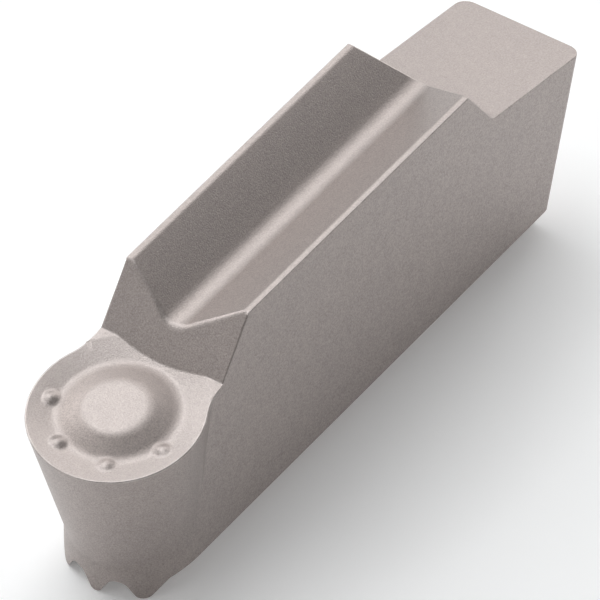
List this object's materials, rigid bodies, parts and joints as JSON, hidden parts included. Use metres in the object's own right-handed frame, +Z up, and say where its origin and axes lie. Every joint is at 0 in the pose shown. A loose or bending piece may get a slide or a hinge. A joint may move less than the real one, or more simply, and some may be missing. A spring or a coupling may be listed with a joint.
{
  "type": "turning insert",
  "caption": "Single-ended grooving and profiling insert with a round nose, a V-grooved clamp block and a serrated seat.",
  "frame": {"origin": "on the floor under the middle of the insert's bounding box, at the level of the seat's ridge tips", "axes": "+X runs lengthways to the cutting nose, +Y across the body, +Z up from the seat to the clamp block"},
  "size_m": [0.0264, 0.006, 0.0094],
  "materials": {
    "carbide": "satin sintered carbide, as pressed, with a fine even grain"
  },
  "bodies": {
    "root": {"insert": "carbide"}
  },
  "joints": []
}
